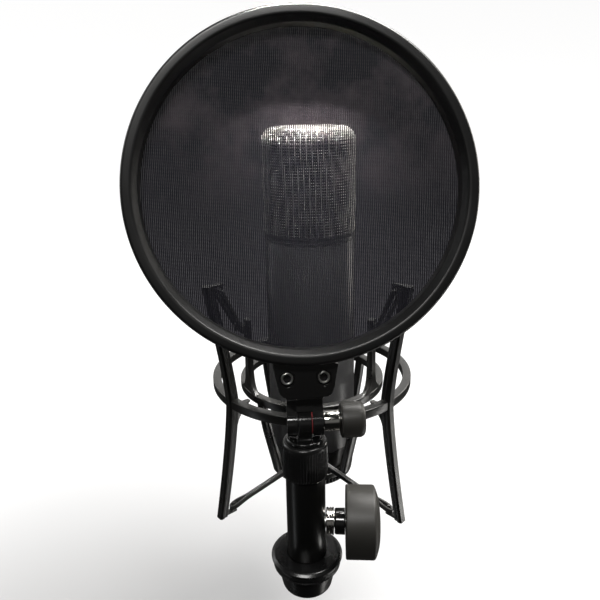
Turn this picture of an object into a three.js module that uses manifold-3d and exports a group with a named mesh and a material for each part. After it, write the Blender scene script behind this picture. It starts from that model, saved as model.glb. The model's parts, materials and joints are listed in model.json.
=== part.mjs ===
// Side-address condenser microphone in a shock mount, with a round pop filter and its post.
// Millimetres, +Z up. The origin is the centre of the bottom face of the stand collar,
// the post stands on the Z axis, the microphone stands behind it along +Y.
import * as THREE from "three";
import { mergeVertices } from "three/addons/utils/BufferGeometryUtils.js";
import Module from "manifold-3d";

const wasm = await Module();
wasm.setup();

// Driving dimensions. Heights are drawn from a level 2 mm below the stand collar.
const FOOT_Z = 2; // bottom face of the stand collar
const FLANGE_Z = 21; // top face of the stand collar
const FLANGE_R = 17.1;
const TUBE_R = 9.2;
const TUBE_BORE_R = 7.2;
const TUBE_TOP = 64.3;
const CLAMP_Z = 37.9; // axis of the tilt clamp
const COLLAR_R = 10.5;
const COLLAR_TOP = 82;
const COLLAR_RIBS = 30;
const BOSS_R = 8.6;
const BOSS_TOP = 84.1;
const BOSS_FLOOR = 83.3;
const HINGE_Z = 90.9; // axis of the pop filter's hinge
const POP_YAW = (7 * Math.PI) / 180;
const POP_LEAN = (13.7 * Math.PI) / 180;
const POP_R = 75;
const POP_OPEN_R = 68.7;
const HINGE_DEPTH = 15; // hinge axis behind the front face of the rim
const HINGE_DROP = 103.4; // hinge axis below the centre of the rim
const MIC_Y = 85;
const MIC_R = 25;
const MIC_BASE_Z = 20.1;
const BODY_BOTTOM = 34.2;
const BODY_TOP = 157;
const MIC_TOP = 216;
const RING_TOP = 76.8;
const RING_R = 57.9;
const RING_BORE_R = 53.2;
const RING_THICK = 5;
const BLADES = [-42, 222, 90].map((a) => (a * Math.PI) / 180); // right, left, rear
const UPRIGHTS = [-32, 212, 90].map((a) => (a * Math.PI) / 180);
const TILT_KNOB_R = 16.7;
const PLATE_X = 0.8; // the bracket's plate sits a little to the right
const SCREW_X = [-7.4, 8.6];
const BLADE_HALF = 68; // from the middle of the ring to a blade's tip
const BLADE_FLARE = 10.8;
const BLADE_DEPTH = 6.2;
const BLADE_WIDTH = 4.9;
const CRADLE_TOP = 74;
const CRADLE_R = 41.9;
const CRADLE_BORE_R = 37.6;
const STRUT_ANGLE = (48 * Math.PI) / 180;
const REAR_STRUT_ANGLE = (41 * Math.PI) / 180;

const root = new THREE.Group();
root.position.z = -FOOT_Z;
const stem = new THREE.Group(); // the pop filter's stem, turned a little on the post
stem.rotation.z = POP_YAW;
root.add(stem);
const disc = new THREE.Group(); // the pop filter, in the plane of its rim
disc.rotation.x = -POP_LEAN;
disc.position.set(
  0,
  HINGE_DROP * Math.sin(POP_LEAN) - HINGE_DEPTH * Math.cos(POP_LEAN),
  HINGE_Z + HINGE_DEPTH * Math.sin(POP_LEAN) + HINGE_DROP * Math.cos(POP_LEAN),
);
stem.add(disc);

const paint = (color, roughness, metalness) => ({ color, roughness, metalness });
const SATIN = paint(0x1a1a1b, 0.45, 0.1);
const MOULDED = paint(0x222223, 0.6, 0);
const GLOSS = paint(0x0d0d0e, 0.18, 0);
const KNOB = paint(0x3a3936, 0.5, 0.05);
const BODY = paint(0x242425, 0.4, 0.6);
const GRILLE = paint(0x2c2c2e, 0.45, 0.7);
const CHROME = paint(0xd5d5d2, 0.12, 1);
const STEEL = paint(0x8d8d8b, 0.35, 1);
const BRASS = paint(0xb08d4a, 0.35, 1);
const RUBBER = paint(0x151515, 0.85, 0);
const CLOTH = paint(0x14141b, 0.95, 0);
const FIBRE = paint(0x5a1f1f, 0.7, 0);
const GOLD = paint(0xc9a24b, 0.3, 1);
const BOARD = paint(0x1d4a2c, 0.5, 0);

// A geometry as a closed solid facing out.
function solid(geometry) {
  const bare = geometry.clone();
  bare.deleteAttribute("normal");
  bare.deleteAttribute("uv");
  const merged = mergeVertices(bare, 1e-4);
  const triVerts = new Uint32Array(merged.index.array);
  const make = () =>
    new wasm.Manifold(
      new wasm.Mesh({ numProp: 3, vertProperties: merged.attributes.position.array, triVerts }),
    );
  const made = make();
  if (made.volume() > 0) return made;
  for (let i = 0; i < triVerts.length; i += 3) {
    [triVerts[i + 1], triVerts[i + 2]] = [triVerts[i + 2], triVerts[i + 1]];
  }
  return make();
}

const union = (first, ...others) => others.reduce((sum, s) => sum.add(s), first);
const cut = (first, ...others) => others.reduce((rest, s) => rest.subtract(s), first);

// A ring or disc turned about a vertical line through x, y; profile holds [radius, z].
function turned(profile, segments = 32, x = 0, y = 0) {
  const closed = profile[0][0] > 0 ? [...profile, profile[0]] : profile;
  const points = closed.map(([r, z]) => new THREE.Vector2(r, z));
  const g = new THREE.LatheGeometry(points, segments);
  g.rotateX(Math.PI / 2);
  g.translate(x, y, 0);
  return solid(g);
}

// The same about an axis along X; profile holds [radius, x].
function turnedX(profile, y, z, segments = 24) {
  const closed = profile[0][0] > 0 ? [...profile, profile[0]] : profile;
  const points = closed.map(([r, along]) => new THREE.Vector2(r, along));
  const g = new THREE.LatheGeometry(points, segments);
  g.rotateZ(-Math.PI / 2);
  g.translate(0, y, z);
  return solid(g);
}

// The same about an axis along Y; profile holds [radius, y].
function turnedY(profile, x, z, segments = 24) {
  const closed = profile[0][0] > 0 ? [...profile, profile[0]] : profile;
  const points = closed.map(([r, along]) => new THREE.Vector2(r, along));
  const g = new THREE.LatheGeometry(points, segments);
  g.translate(x, 0, z);
  return solid(g);
}

const rodZ = (r, z0, z1, x = 0, y = 0, n = 24) =>
  turned([[0, z0], [r, z0], [r, z1], [0, z1]], n, x, y);
const rodX = (r, x0, x1, y, z, n = 24) => turnedX([[0, x0], [r, x0], [r, x1], [0, x1]], y, z, n);
const rodY = (r, y0, y1, x, z, n = 24) => turnedY([[0, y0], [r, y0], [r, y1], [0, y1]], x, z, n);
const tubeZ = (inner, outer, z0, z1, x = 0, y = 0, n = 32) =>
  turned([[inner, z0], [outer, z0], [outer, z1], [inner, z1]], n, x, y);
const tubeX = (inner, outer, x0, x1, y, z, n = 24) =>
  turnedX([[inner, x0], [outer, x0], [outer, x1], [inner, x1]], y, z, n);

function block(x0, x1, y0, y1, z0, z1) {
  const g = new THREE.BoxGeometry(x1 - x0, y1 - y0, z1 - z0);
  g.translate((x0 + x1) / 2, (y0 + y1) / 2, (z0 + z1) / 2);
  return solid(g);
}

// A flat outline of [across, up] points, thick along Y about y = 0.
function slab(outline, thick) {
  const shape = new THREE.Shape(outline.map(([a, b]) => new THREE.Vector2(a, b)));
  const g = new THREE.ExtrudeGeometry(shape, { depth: thick, bevelEnabled: false });
  g.rotateX(Math.PI / 2);
  g.translate(0, thick / 2, 0);
  return solid(g);
}

// An outline of [y, z] points, from x0 to x1.
function slabX(outline, x0, x1) {
  const shape = new THREE.Shape(outline.map(([a, b]) => new THREE.Vector2(a, b)));
  const g = new THREE.ExtrudeGeometry(shape, { depth: x1 - x0, bevelEnabled: false });
  g.applyMatrix4(new THREE.Matrix4().set(0, 0, 1, x0, 1, 0, 0, 0, 0, 1, 0, 0, 0, 0, 0, 1));
  return solid(g);
}

// A solid drawn with x as the radius, moved to an angle about the microphone's axis.
const around = (s, angle) => s.rotate([0, 0, (angle * 180) / Math.PI]).translate([0, MIC_Y, 0]);

// A round outline with straight ribs, from z0 to z1.
function ribbed(ribs, rOuter, rRoot, z0, z1, x = 0, y = 0) {
  const shape = new THREE.Shape();
  for (let i = 0; i < ribs * 4; i++) {
    const a = ((i + 0.5) * Math.PI) / (ribs * 2);
    const r = i % 4 < 2 ? rOuter : rRoot;
    const p = [r * Math.cos(a), r * Math.sin(a)];
    if (i === 0) shape.moveTo(...p);
    else shape.lineTo(...p);
  }
  const g = new THREE.ExtrudeGeometry(shape, { depth: z1 - z0, bevelEnabled: false });
  g.translate(x, y, z0);
  return solid(g);
}

// A closed band of rectangular section through the given points.
function band(points, wide, high) {
  const n = points.length;
  const at = points.map((p) => new THREE.Vector3(...p));
  const corners = at.map((p, i) => {
    const before = p.clone().sub(at[(i + n - 1) % n]).normalize();
    const after = at[(i + 1) % n].clone().sub(p).normalize();
    const along = before.clone().add(after).normalize();
    const stretch = 1 / Math.max(0.6, along.dot(after));
    const side = new THREE.Vector3().crossVectors(along, new THREE.Vector3(0, 0, 1)).normalize();
    const up = new THREE.Vector3().crossVectors(side, along).normalize();
    side.multiplyScalar((wide / 2) * stretch);
    up.multiplyScalar(high / 2);
    return [
      p.clone().add(side).add(up),
      p.clone().sub(side).add(up),
      p.clone().sub(side).sub(up),
      p.clone().add(side).sub(up),
    ];
  });
  const index = [];
  for (let i = 0; i < n; i++) {
    for (let k = 0; k < 4; k++) {
      const a = i * 4 + k;
      const b = i * 4 + ((k + 1) % 4);
      const c = ((i + 1) % n) * 4 + k;
      const d = ((i + 1) % n) * 4 + ((k + 1) % 4);
      index.push(a, c, b, b, c, d);
    }
  }
  const g = new THREE.BufferGeometry();
  g.setAttribute("position", new THREE.BufferAttribute(
    new Float32Array(corners.flat().flatMap((v) => v.toArray())), 3));
  g.setIndex(index);
  return solid(g);
}

function add(name, s, finish, group = root) {
  const mesh = s.getMesh();
  const flat = new Float32Array(mesh.triVerts.length * 3);
  mesh.triVerts.forEach((v, i) => {
    for (let k = 0; k < 3; k++) flat[i * 3 + k] = mesh.vertProperties[v * mesh.numProp + k];
  });
  const g = new THREE.BufferGeometry();
  g.setAttribute("position", new THREE.BufferAttribute(flat, 3));
  g.computeVertexNormals();
  const node = new THREE.Mesh(g, new THREE.MeshStandardMaterial(finish));
  node.name = name;
  group.add(node);
}

// Stand collar: flange, conical wall and cup, threaded inside for a stand.
function standCollar() {
  const cup = turned([
    [8, FOOT_Z], [10, FOOT_Z], [11.6, FOOT_Z + 1], [14.2, 14.5], [14.5, 15], [15.8, 15.2],
    [FLANGE_R, 19.3], [FLANGE_R, 19.7], [FLANGE_R - 1.4, FLANGE_Z], [TUBE_R + 0.3, FLANGE_Z],
    [TUBE_R + 0.3, 13.4], [4, 13.4], [4, 12.2], [8, 12.2],
  ]);
  add("stand_collar", cup, SATIN);
  const insert = turned([
    [4.8, FOOT_Z + 0.3], [7.3, FOOT_Z + 0.3], [7.8, FOOT_Z + 0.9], [7.8, 11.8], [4.8, 11.8],
  ], 24);
  const slot = block(-8, 8, -1.1, 1.1, FOOT_Z, FOOT_Z + 2);
  add("thread_insert", cut(insert, slot), BRASS);
}

// Post: tube with a slot behind for the mount's arm, and the pieces of the clamp inside it.
function post() {
  const tube = turned([
    [TUBE_BORE_R, 13.7], [TUBE_R, 13.7], [TUBE_R, TUBE_TOP - 0.2], [7.9, TUBE_TOP - 0.2],
    [7.9, 74], [TUBE_BORE_R, 74],
  ]);
  const slot = block(-2.9, 2.9, 2, 10, 21, 52);
  const bolt = rodX(3.3, 4, 10, 0, CLAMP_Z, 16);
  add("post_tube", cut(tube, slot, bolt), SATIN);
  const jaw = tubeZ(5.75, 7.05, 67, 74, 0, 0, 24);
  const gaps = [0, 1, 2].map((i) =>
    block(4, 8, -0.6, 0.6, 68.5, 75).rotate([0, 0, 90 + i * 120]));
  add("collet", cut(jaw, ...gaps), MOULDED);
  const nut = rodX(5.1, -7.4, -2.8, 0, CLAMP_Z, 24).intersect(rodZ(6.95, 30, 45));
  add("clamp_nut", cut(nut, rodX(3.15, -8, 0, 0, CLAMP_Z, 16)), STEEL);
  add("clamp_spacer", tubeX(3.3, 5, 2.8, 4.9, 0, CLAMP_Z, 24), MOULDED);
}

// One blade of the outer frame, drawn in the plane of its radius, with a hook at each tip.
function blade() {
  const mid = RING_TOP - RING_THICK / 2;
  const centre = (RING_R + RING_BORE_R) / 2;
  const steps = 6;
  const outer = [];
  const inner = [];
  for (let i = -steps; i <= steps; i++) {
    const t = i / steps;
    const r = centre + BLADE_FLARE * Math.abs(t) ** 1.3;
    const half = (BLADE_DEPTH / 2) * (1 - 0.18 * Math.abs(t));
    outer.push([r + half, mid + t * BLADE_HALF]);
    inner.push([r - half, mid + t * BLADE_HALF]);
  }
  const bar = slab([...outer, ...inner.reverse()], BLADE_WIDTH);
  const gusset = [
    [centre - 8.5, mid - 2.3], [centre, mid - 2.3], [centre, mid - 14], [centre - 3, mid - 12],
    [centre - 5.2, mid - 6.5],
  ];
  const tip = centre + BLADE_FLARE;
  const hook = (low, dir) => union(
    block(tip - 9, tip, -1.5, 1.5, Math.min(low, low + 1.5 * dir), Math.max(low, low + 1.5 * dir)),
    block(tip - 9, tip - 7.2, -1.5, 1.5, Math.min(low, low + 6 * dir), Math.max(low, low + 6 * dir)),
  );
  return union(
    bar,
    slab(gusset, 3.4),
    hook(mid - BLADE_HALF + 0.4, 1),
    hook(mid + BLADE_HALF - 0.4, -1),
  );
}

// Outer frame: flat ring with three blades, and the arm that carries it on the post.
function outerFrame() {
  const ring = turned([
    [RING_BORE_R, RING_TOP - RING_THICK], [RING_R - 0.4, RING_TOP - RING_THICK],
    [RING_R, RING_TOP - RING_THICK + 0.4], [RING_R, RING_TOP - 0.4],
    [RING_R - 0.4, RING_TOP], [RING_BORE_R, RING_TOP],
  ], 48, 0, MIC_Y);
  const blades = BLADES.map((a) => around(blade(), a));
  add("outer_frame", union(ring, ...blades), MOULDED);
  const tongue = union(
    rodX(6, -2.5, 2.5, 0, CLAMP_Z),
    slabX([
      [0, CLAMP_Z - 5], [6, CLAMP_Z - 4], [18, CLAMP_Z - 3.5], [18, CLAMP_Z + 5], [0, CLAMP_Z + 5],
    ], -2.5, 2.5),
  );
  const arm = slabX([
    [16.5, CLAMP_Z - 3.5], [22, CLAMP_Z - 1.5], [28, CLAMP_Z + 8], [34, RING_TOP - RING_THICK - 4],
    [34, RING_TOP - RING_THICK - 0.1], [25.5, RING_TOP - RING_THICK - 0.1],
    [21.5, CLAMP_Z + 17], [18.5, CLAMP_Z + 9], [16.5, CLAMP_Z + 6],
  ], -4.5, 4.5);
  add("frame_arm", cut(union(tongue, arm), rodX(3.2, -3, 3, 0, CLAMP_Z, 24)), MOULDED);
}

// Clamp knob: stud, chrome washer with steps, hub and disc-shaped knob.
function tiltKnob() {
  add("tilt_stud", rodX(3, -6.4, 30.6, 0, CLAMP_Z, 24), STEEL);
  add("stud_washer", turnedX([
    [3.3, 9.4], [6.2, 9.4], [6.2, 10.4], [5.7, 10.6], [5.7, 11], [6.2, 11.2], [6.2, 13.2],
    [3.3, 13.2],
  ], 0, CLAMP_Z), CHROME);
  add("tilt_hub", turnedX([
    [3.3, 13.5], [5.7, 13.5], [6.2, 14], [6.2, 18.3], [3.3, 18.3],
  ], 0, CLAMP_Z), GLOSS);
  add("tilt_knob", turnedX([
    [0, 31.2], [3.3, 31.2], [3.3, 18.6], [TILT_KNOB_R - 0.6, 18.6], [TILT_KNOB_R, 19.2],
    [TILT_KNOB_R, 30.8], [TILT_KNOB_R - 0.6, 31.5], [11, 33.1], [0, 33.8],
  ], 0, CLAMP_Z, 36), KNOB);
}

// Knurled collar that closes the collet on the stem.
function lockCollar() {
  const skin = union(
    ribbed(COLLAR_RIBS, COLLAR_R, COLLAR_R - 0.45, TUBE_TOP + 1.4, COLLAR_TOP - 2.2),
    turned([
      [0, TUBE_TOP], [9.7, TUBE_TOP], [COLLAR_R - 0.45, TUBE_TOP + 1.4],
      [COLLAR_R - 0.45, COLLAR_TOP - 2.2], [9, COLLAR_TOP], [0, COLLAR_TOP],
    ]),
  );
  const bore = union(rodZ(8.1, TUBE_TOP - 1, 75), rodZ(5.8, 70, COLLAR_TOP + 1));
  add("lock_collar", cut(skin, bore), SATIN);
}

// Stem: bush that slides in the tube, rod that turns in the bush, boss and hinge tongue.
function popStem() {
  add("stem_bush", tubeZ(4.8, 7.05, 47, 52, 0, 0, 24), MOULDED);
  const rod = turned([
    [0, 44.8], [4.6, 44.8], [4.6, 52.3], [5.5, 52.3], [5.5, COLLAR_TOP + 0.3],
    [BOSS_R - 0.3, COLLAR_TOP + 0.3], [BOSS_R, COLLAR_TOP + 0.7], [BOSS_R, BOSS_TOP - 0.4],
    [BOSS_R - 0.4, BOSS_TOP], [BOSS_R - 1.2, BOSS_TOP], [BOSS_R - 1.4, BOSS_FLOOR], [0, BOSS_FLOOR],
  ], 28);
  const tongue = union(
    rodX(5.9, -2.9, 2.9, 0, HINGE_Z),
    block(-2.9, 2.9, -5.9, 5.9, BOSS_FLOOR - 0.5, HINGE_Z),
  );
  add("pop_stem", cut(union(rod, tongue), rodX(2.2, -3, 3, 0, HINGE_Z, 24)), GLOSS, stem);
  add("stem_clip", tubeZ(4.7, 6.3, 45.2, 46.6, 0, 0, 20), STEEL, stem);
  add("hinge_washer_left", tubeX(2.3, 5.6, -3.4, -3.05, 0, HINGE_Z), FIBRE, stem);
  add("hinge_washer_right", tubeX(2.3, 5.6, 3.05, 3.4, 0, HINGE_Z), FIBRE, stem);
}

// Hinge screw with its bright barrel, and the small knob.
function hingeKnob() {
  add("hinge_screw", turnedX([
    [0, -7.4], [2, -7.4], [2, 8.4], [4.5, 8.4], [4.8, 8.7], [4.8, 16.1], [2.5, 16.1],
    [2.5, 23], [0, 23],
  ], 0, HINGE_Z), CHROME, stem);
  add("small_knob", turnedX([
    [0, 24], [2.7, 24], [2.7, 16.4], [7.6, 16.4], [8, 16.9], [8.1, 25], [7.3, 26.8],
    [6.2, 27.2], [0, 27.2],
  ], 0, HINGE_Z, 28), KNOB, stem);
}

// Bracket: plate under the rim, shelf, neck and a fork round the stem's tongue.
function popBracket() {
  const plate = slab([
    [-9, -90], [9, -90], [11.2, -88.8], [12.2, -86.3], [15.2, -73], [-15.2, -73],
    [-12.2, -86.3], [-11.2, -88.8],
  ], 4.4).translate([PLATE_X, 7.7, 0]);
  const rim = rodY(POP_R + 0.4, 5, 11, 0, 0, 96);
  const shelf = block(-8.15, 8.15, 5.5, 18.2, -91.2, -87.6);
  const neck = block(-8.15, 8.15, 11.6, 18.2, -98.5, -90);
  const barrel = rodX(6.3, -8.15, 8.15, HINGE_DEPTH, -HINGE_DROP);
  const slot = union(
    rodX(6.35, -3.55, 3.55, HINGE_DEPTH, -HINGE_DROP),
    block(-3.55, 3.55, 5, 25, -112, -HINGE_DROP),
  );
  const bores = SCREW_X.map((x) => rodY(1.7, 5, 11, x, -81.1, 20));
  const heads = SCREW_X.map((x) => rodY(2.9, 5, 7, x, -81.1, 6));
  const pin = rodX(2.2, -9, 9, HINGE_DEPTH, -HINGE_DROP, 24);
  const pocket = rodX(3.7, -9, -5.2, HINGE_DEPTH, -HINGE_DROP, 6);
  const whole = union(cut(plate, rim), shelf, neck, barrel);
  add("pop_bracket", cut(whole, slot, ...bores, ...heads, pin, pocket), GLOSS, disc);
  add("hinge_nut", turnedX([
    [2.4, -7.8], [3.4, -7.8], [3.4, -5.4], [2.4, -5.4],
  ], HINGE_DEPTH, -HINGE_DROP, 6), STEEL, disc);
  for (const [side, x] of [["left", SCREW_X[0]], ["right", SCREW_X[1]]]) {
    const screw = union(rodY(2.2, 5.7, 6.9, x, -81.1, 24), rodY(1.4, 6.5, 15, x, -81.1, 20));
    add("bracket_screw_" + side, cut(screw, rodY(1.2, 5, 6.5, x, -81.1, 6)), STEEL, disc);
    const nut = turnedY([[1.6, 13], [3.1, 13], [3.1, 15.2], [1.6, 15.2]], x, -81.1, 6);
    add("bracket_nut_" + side, nut, STEEL, disc);
  }
}

// Pop filter: front rim, mesh and rear rim; the rear rim carries the lug behind the bracket.
function popFilter() {
  const off = 2; // the rim sits this far to the right in its bracket
  const front = turnedY([
    [POP_OPEN_R, 9.4], [POP_OPEN_R, 1.8], [70.2, 0], [73.4, 0], [POP_R, 1.6], [POP_R, 9.4],
  ], off, 0, 56);
  add("front_rim", cut(front, rodY(POP_R, -1, 11, 0, -2 * POP_R - 0.4, 24)), SATIN, disc);
  add("pop_mesh", rodY(71.5, 9.6, 10, off, 0, 48), CLOTH, disc);
  const ring = turnedY([[69, 10.2], [74.6, 10.2], [74.6, 12.2], [69, 12.2]], off, 0, 48);
  const lug = slab([
    [-11, -86.5], [11, -86.5], [12.5, -72], [-12.5, -72],
  ], 2.4).translate([0, 11.4, 0]);
  const bores = SCREW_X.map((x) => rodY(1.7, 9, 14, x, -81.1, 20));
  add("rear_rim", cut(union(ring, lug), ...bores), SATIN, disc);
}

// Cradle: ring with three uprights, four struts, and the base under the microphone.
function cradle() {
  add("cradle_ring", turned([
    [CRADLE_BORE_R, CRADLE_TOP - 4.6], [CRADLE_R, CRADLE_TOP - 4.6], [CRADLE_R, CRADLE_TOP - 0.5],
    [CRADLE_R - 0.5, CRADLE_TOP], [CRADLE_BORE_R, CRADLE_TOP],
  ], 48, 0, MIC_Y), MOULDED);
  const low = CRADLE_TOP + 0.15;
  const upright = union(
    block(37.8, 41.6, -3, 3, low, 116),
    slab([[37.8, low], [41.6, low], [41.6, low + 5], [37.8, low + 5]], 12)
      .intersect(rodX(9, 37, 42, 0, low - 4, 20)),
    block(41, 47.6, -1.6, 1.6, 112, 115),
    block(46, 47.6, -1.6, 1.6, 107.6, 113),
  );
  ["right", "left", "rear"].forEach((side, i) =>
    add("upright_" + side, around(upright, UPRIGHTS[i]), MOULDED));
  const strut = slab([
    [41.6, 69.2], [38, 50], [32.6, 29], [30.6, 21], [27.6, 17], [24.8, 16.2], [24.8, 19.7],
    [26.4, 23.5], [27.4, 30], [33.6, 50], [37.2, 69.2],
  ], 5.6);
  for (const [name, a] of [
    ["strut_front_right", -STRUT_ANGLE],
    ["strut_front_left", Math.PI + STRUT_ANGLE],
    ["strut_rear_right", REAR_STRUT_ANGLE],
    ["strut_rear_left", Math.PI - REAR_STRUT_ANGLE],
  ]) {
    add(name, around(strut, a), MOULDED);
  }
  const hook = union(
    block(22, 29.6, -3, 3, 16.2, 19.4),
    block(26.6, 29.6, -3, 3, 16.2, 36.4),
    block(26.6, 35, -1.8, 1.8, 33, 35.4),
    block(33.6, 35, -1.8, 1.8, 33, 40),
  );
  const base = union(
    tubeZ(15.6, 24.5, 16.2, 19.8),
    hook.rotate([0, 0, 90]),
    hook.rotate([0, 0, -90]),
  );
  add("cradle_base", base.translate([0, MIC_Y, 0]), MOULDED);
}

// Retaining ring, screwed on the microphone's stub from below.
function retainingRing() {
  const skin = union(
    ribbed(28, 24, 23.4, 12.4, 15.9),
    turned([[0, 11.4], [21.6, 11.4], [23.3, 12.6], [23.3, 15.9], [0, 15.9]], 28),
  );
  add("retaining_ring", cut(skin, rodZ(15.3, 10, 17, 0, 0, 32)).translate([0, MIC_Y, 0]), SATIN);
}

// A point at a distance r and a sideways step t about the microphone's axis.
function spot(angle, r, t, z) {
  const [c, s] = [Math.cos(angle), Math.sin(angle)];
  return [r * c - t * s, MIC_Y + r * s + t * c, z];
}

// Suspension bands: one from both front blades over the cradle's front hook, a short one
// behind, and one from the top of each blade to an upright.
function elastics() {
  const mid = RING_TOP - RING_THICK / 2;
  const r = (RING_R + RING_BORE_R) / 2 + BLADE_FLARE - 5.4;
  const tip = (i, end, t) => spot(BLADES[i], r, t, mid + end * (BLADE_HALF - 3.6));
  const front = -Math.PI / 2;
  add("elastic_lower_front", band([
    tip(1, -1, 2.4), spot(front, 32.5, -2.6, 36.9), spot(front, 32.5, 2.6, 36.9), tip(0, -1, -2.4),
    tip(0, -1, 4.8), spot(front, 30.7, 2.6, 36.9), spot(front, 30.7, -2.6, 36.9), tip(1, -1, -4.8),
  ], 1.4, 2.6), RUBBER);
  add("elastic_lower_rear", band([
    tip(2, -1, -3), tip(2, -1, 3), spot(BLADES[2], 31.6, 3.9, 37), spot(BLADES[2], 31.6, -3.9, 37),
  ], 1.8, 2.6), RUBBER);
  // steps to either side at the blade's tip and at the upright
  const steps = { right: [-4.4, 3, 5.8, -3.3], left: [-3, 4.4, 3.3, -5.8], rear: [-3, 3, 3.3, -3.3] };
  Object.entries(steps).forEach(([side, [a, b, c, d]], i) => add("elastic_upper_" + side, band([
    tip(i, 1, a), tip(i, 1, b), spot(UPRIGHTS[i], 43.8, c, 110.4), spot(UPRIGHTS[i], 43.8, d, 110.4),
  ], 1.8, 2.6), RUBBER));
}

// Microphone body: base with the socket, tube, chassis rails and circuit board.
function micBody() {
  add("mic_base", turned([
    [9.6, 10.2], [14.6, 10.2], [15, 10.6], [15, MIC_BASE_Z], [21, MIC_BASE_Z],
    [21.6, MIC_BASE_Z + 0.6], [MIC_R, BODY_BOTTOM - 0.2], [23.2, BODY_BOTTOM - 0.2],
    [23.2, 40], [12, 40], [12, 26], [6, 26], [6, 24], [9.6, 24],
  ], 32, 0, MIC_Y), BODY);
  add("xlr_insert", rodZ(9.3, 20, 23.8, 0, MIC_Y), MOULDED);
  for (let i = 0; i < 3; i++) {
    const a = Math.PI / 2 + (i - 1) * 1.9;
    const pin = rodZ(1.2, 11.6, 19.9, 5.4 * Math.cos(a), MIC_Y - 5.4 * Math.sin(a), 10);
    add("xlr_pin_" + (i + 1), pin, GOLD);
  }
  add("mic_body", tubeZ(MIC_R - 1.6, MIC_R, BODY_BOTTOM, BODY_TOP, 0, MIC_Y), BODY);
  add("circuit_board", block(-13, 13, MIC_Y - 0.8, MIC_Y + 0.8, 56, 146), BOARD);
  add("rail_left", block(-18, -15, MIC_Y - 3, MIC_Y + 3, 41, 149.5), STEEL);
  add("rail_right", block(15, 18, MIC_Y - 3, MIC_Y + 3, 41, 149.5), STEEL);
}

// Head: base plate, hoop, grille, and the capsule on its saddle.
function micHead() {
  add("head_base", turned([
    [0, 150], [23, 150], [23, 157.1], [MIC_R, 157.1], [MIC_R, 159], [23.8, 159], [23.8, 163],
    [21.5, 163], [21.5, 160], [0, 160],
  ], 32, 0, MIC_Y), BODY);
  const corner = 7;
  const outer = [[MIC_R, 159.2]];
  const inner = [[MIC_R - 0.9, 159.2]];
  for (let i = 0; i <= 3; i++) {
    const a = (i * Math.PI) / 6;
    outer.push([MIC_R - corner + corner * Math.cos(a), MIC_TOP - corner + corner * Math.sin(a)]);
    inner.push([
      MIC_R - corner + (corner - 0.9) * Math.cos(a),
      MIC_TOP - corner + (corner - 0.9) * Math.sin(a),
    ]);
  }
  const shell = [[0, MIC_TOP - 0.9], ...inner.reverse(), ...outer, [0, MIC_TOP]];
  add("grille", turned(shell, 36, 0, MIC_Y), GRILLE);
  const arch = (r, top, low) => [
    [-r, low], [-r, top - 6], [-r + 2, top - 2], [-r + 6, top], [r - 6, top], [r - 2, top - 2],
    [r, top - 6], [r, low],
  ];
  const hoop = cut(slab(arch(21.2, 214, 160.2), 6), slab(arch(19.8, 212.6, 155), 8));
  add("grille_hoop", hoop.translate([0, MIC_Y, 0]), STEEL);
  const saddle = cut(
    union(rodZ(5, 160.2, 169), block(-9, 9, -3, 3, 167, 174)),
    rodY(17.3, -10, 10, 0, 190, 28),
  );
  add("capsule_saddle", saddle.translate([0, MIC_Y, 0]), MOULDED);
  add("capsule", turnedY([
    [0, -3.2], [14, -3.2], [14, -4.5], [17, -4.5], [17, 4.5], [14, 4.5], [14, 3.2], [0, 3.2],
  ], 0, 190, 28).translate([0, MIC_Y, 0]), BRASS);
  add("diaphragm_front", rodY(13.7, MIC_Y - 3.8, MIC_Y - 3.4, 0, 190, 28), GOLD);
  add("diaphragm_rear", rodY(13.7, MIC_Y + 3.4, MIC_Y + 3.8, 0, 190, 28), GOLD);
}

standCollar();
post();
outerFrame();
tiltKnob();
lockCollar();
popStem();
hingeKnob();
popBracket();
popFilter();
cradle();
retainingRing();
elastics();
micBody();
micHead();

export default root;
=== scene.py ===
import json
import math

import bmesh
import bpy
from mathutils import Matrix, Vector


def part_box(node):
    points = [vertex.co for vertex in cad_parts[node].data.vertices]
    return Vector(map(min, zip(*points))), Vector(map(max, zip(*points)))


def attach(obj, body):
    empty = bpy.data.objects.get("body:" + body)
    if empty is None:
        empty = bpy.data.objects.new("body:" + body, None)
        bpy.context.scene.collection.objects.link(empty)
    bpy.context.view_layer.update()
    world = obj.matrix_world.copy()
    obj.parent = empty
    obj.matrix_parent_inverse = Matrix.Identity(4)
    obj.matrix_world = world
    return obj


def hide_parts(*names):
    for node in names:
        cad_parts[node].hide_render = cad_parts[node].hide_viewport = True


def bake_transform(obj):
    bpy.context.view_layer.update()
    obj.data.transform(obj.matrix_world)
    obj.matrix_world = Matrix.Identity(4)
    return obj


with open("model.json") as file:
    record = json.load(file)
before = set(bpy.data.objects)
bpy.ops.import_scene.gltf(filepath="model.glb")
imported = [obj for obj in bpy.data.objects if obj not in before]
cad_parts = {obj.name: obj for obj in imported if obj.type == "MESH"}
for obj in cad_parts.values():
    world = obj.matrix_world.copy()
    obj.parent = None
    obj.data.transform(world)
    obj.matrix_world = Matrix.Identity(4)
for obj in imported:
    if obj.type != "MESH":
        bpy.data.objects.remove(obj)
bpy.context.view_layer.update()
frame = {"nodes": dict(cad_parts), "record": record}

scene = bpy.context.scene
MM = 0.001
FOOT = 2.0  # heights here are drawn from a level this far below the stand collar

# ---------------------------------------------------------------- places from the frame
def mm_box(node):
    return [[x * 1000, y * 1000, z * 1000 + FOOT] for x, y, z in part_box(node)]


def middle(node):
    lo, hi = mm_box(node)
    return [(a + b) / 2 for a, b in zip(lo, hi)]


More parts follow.
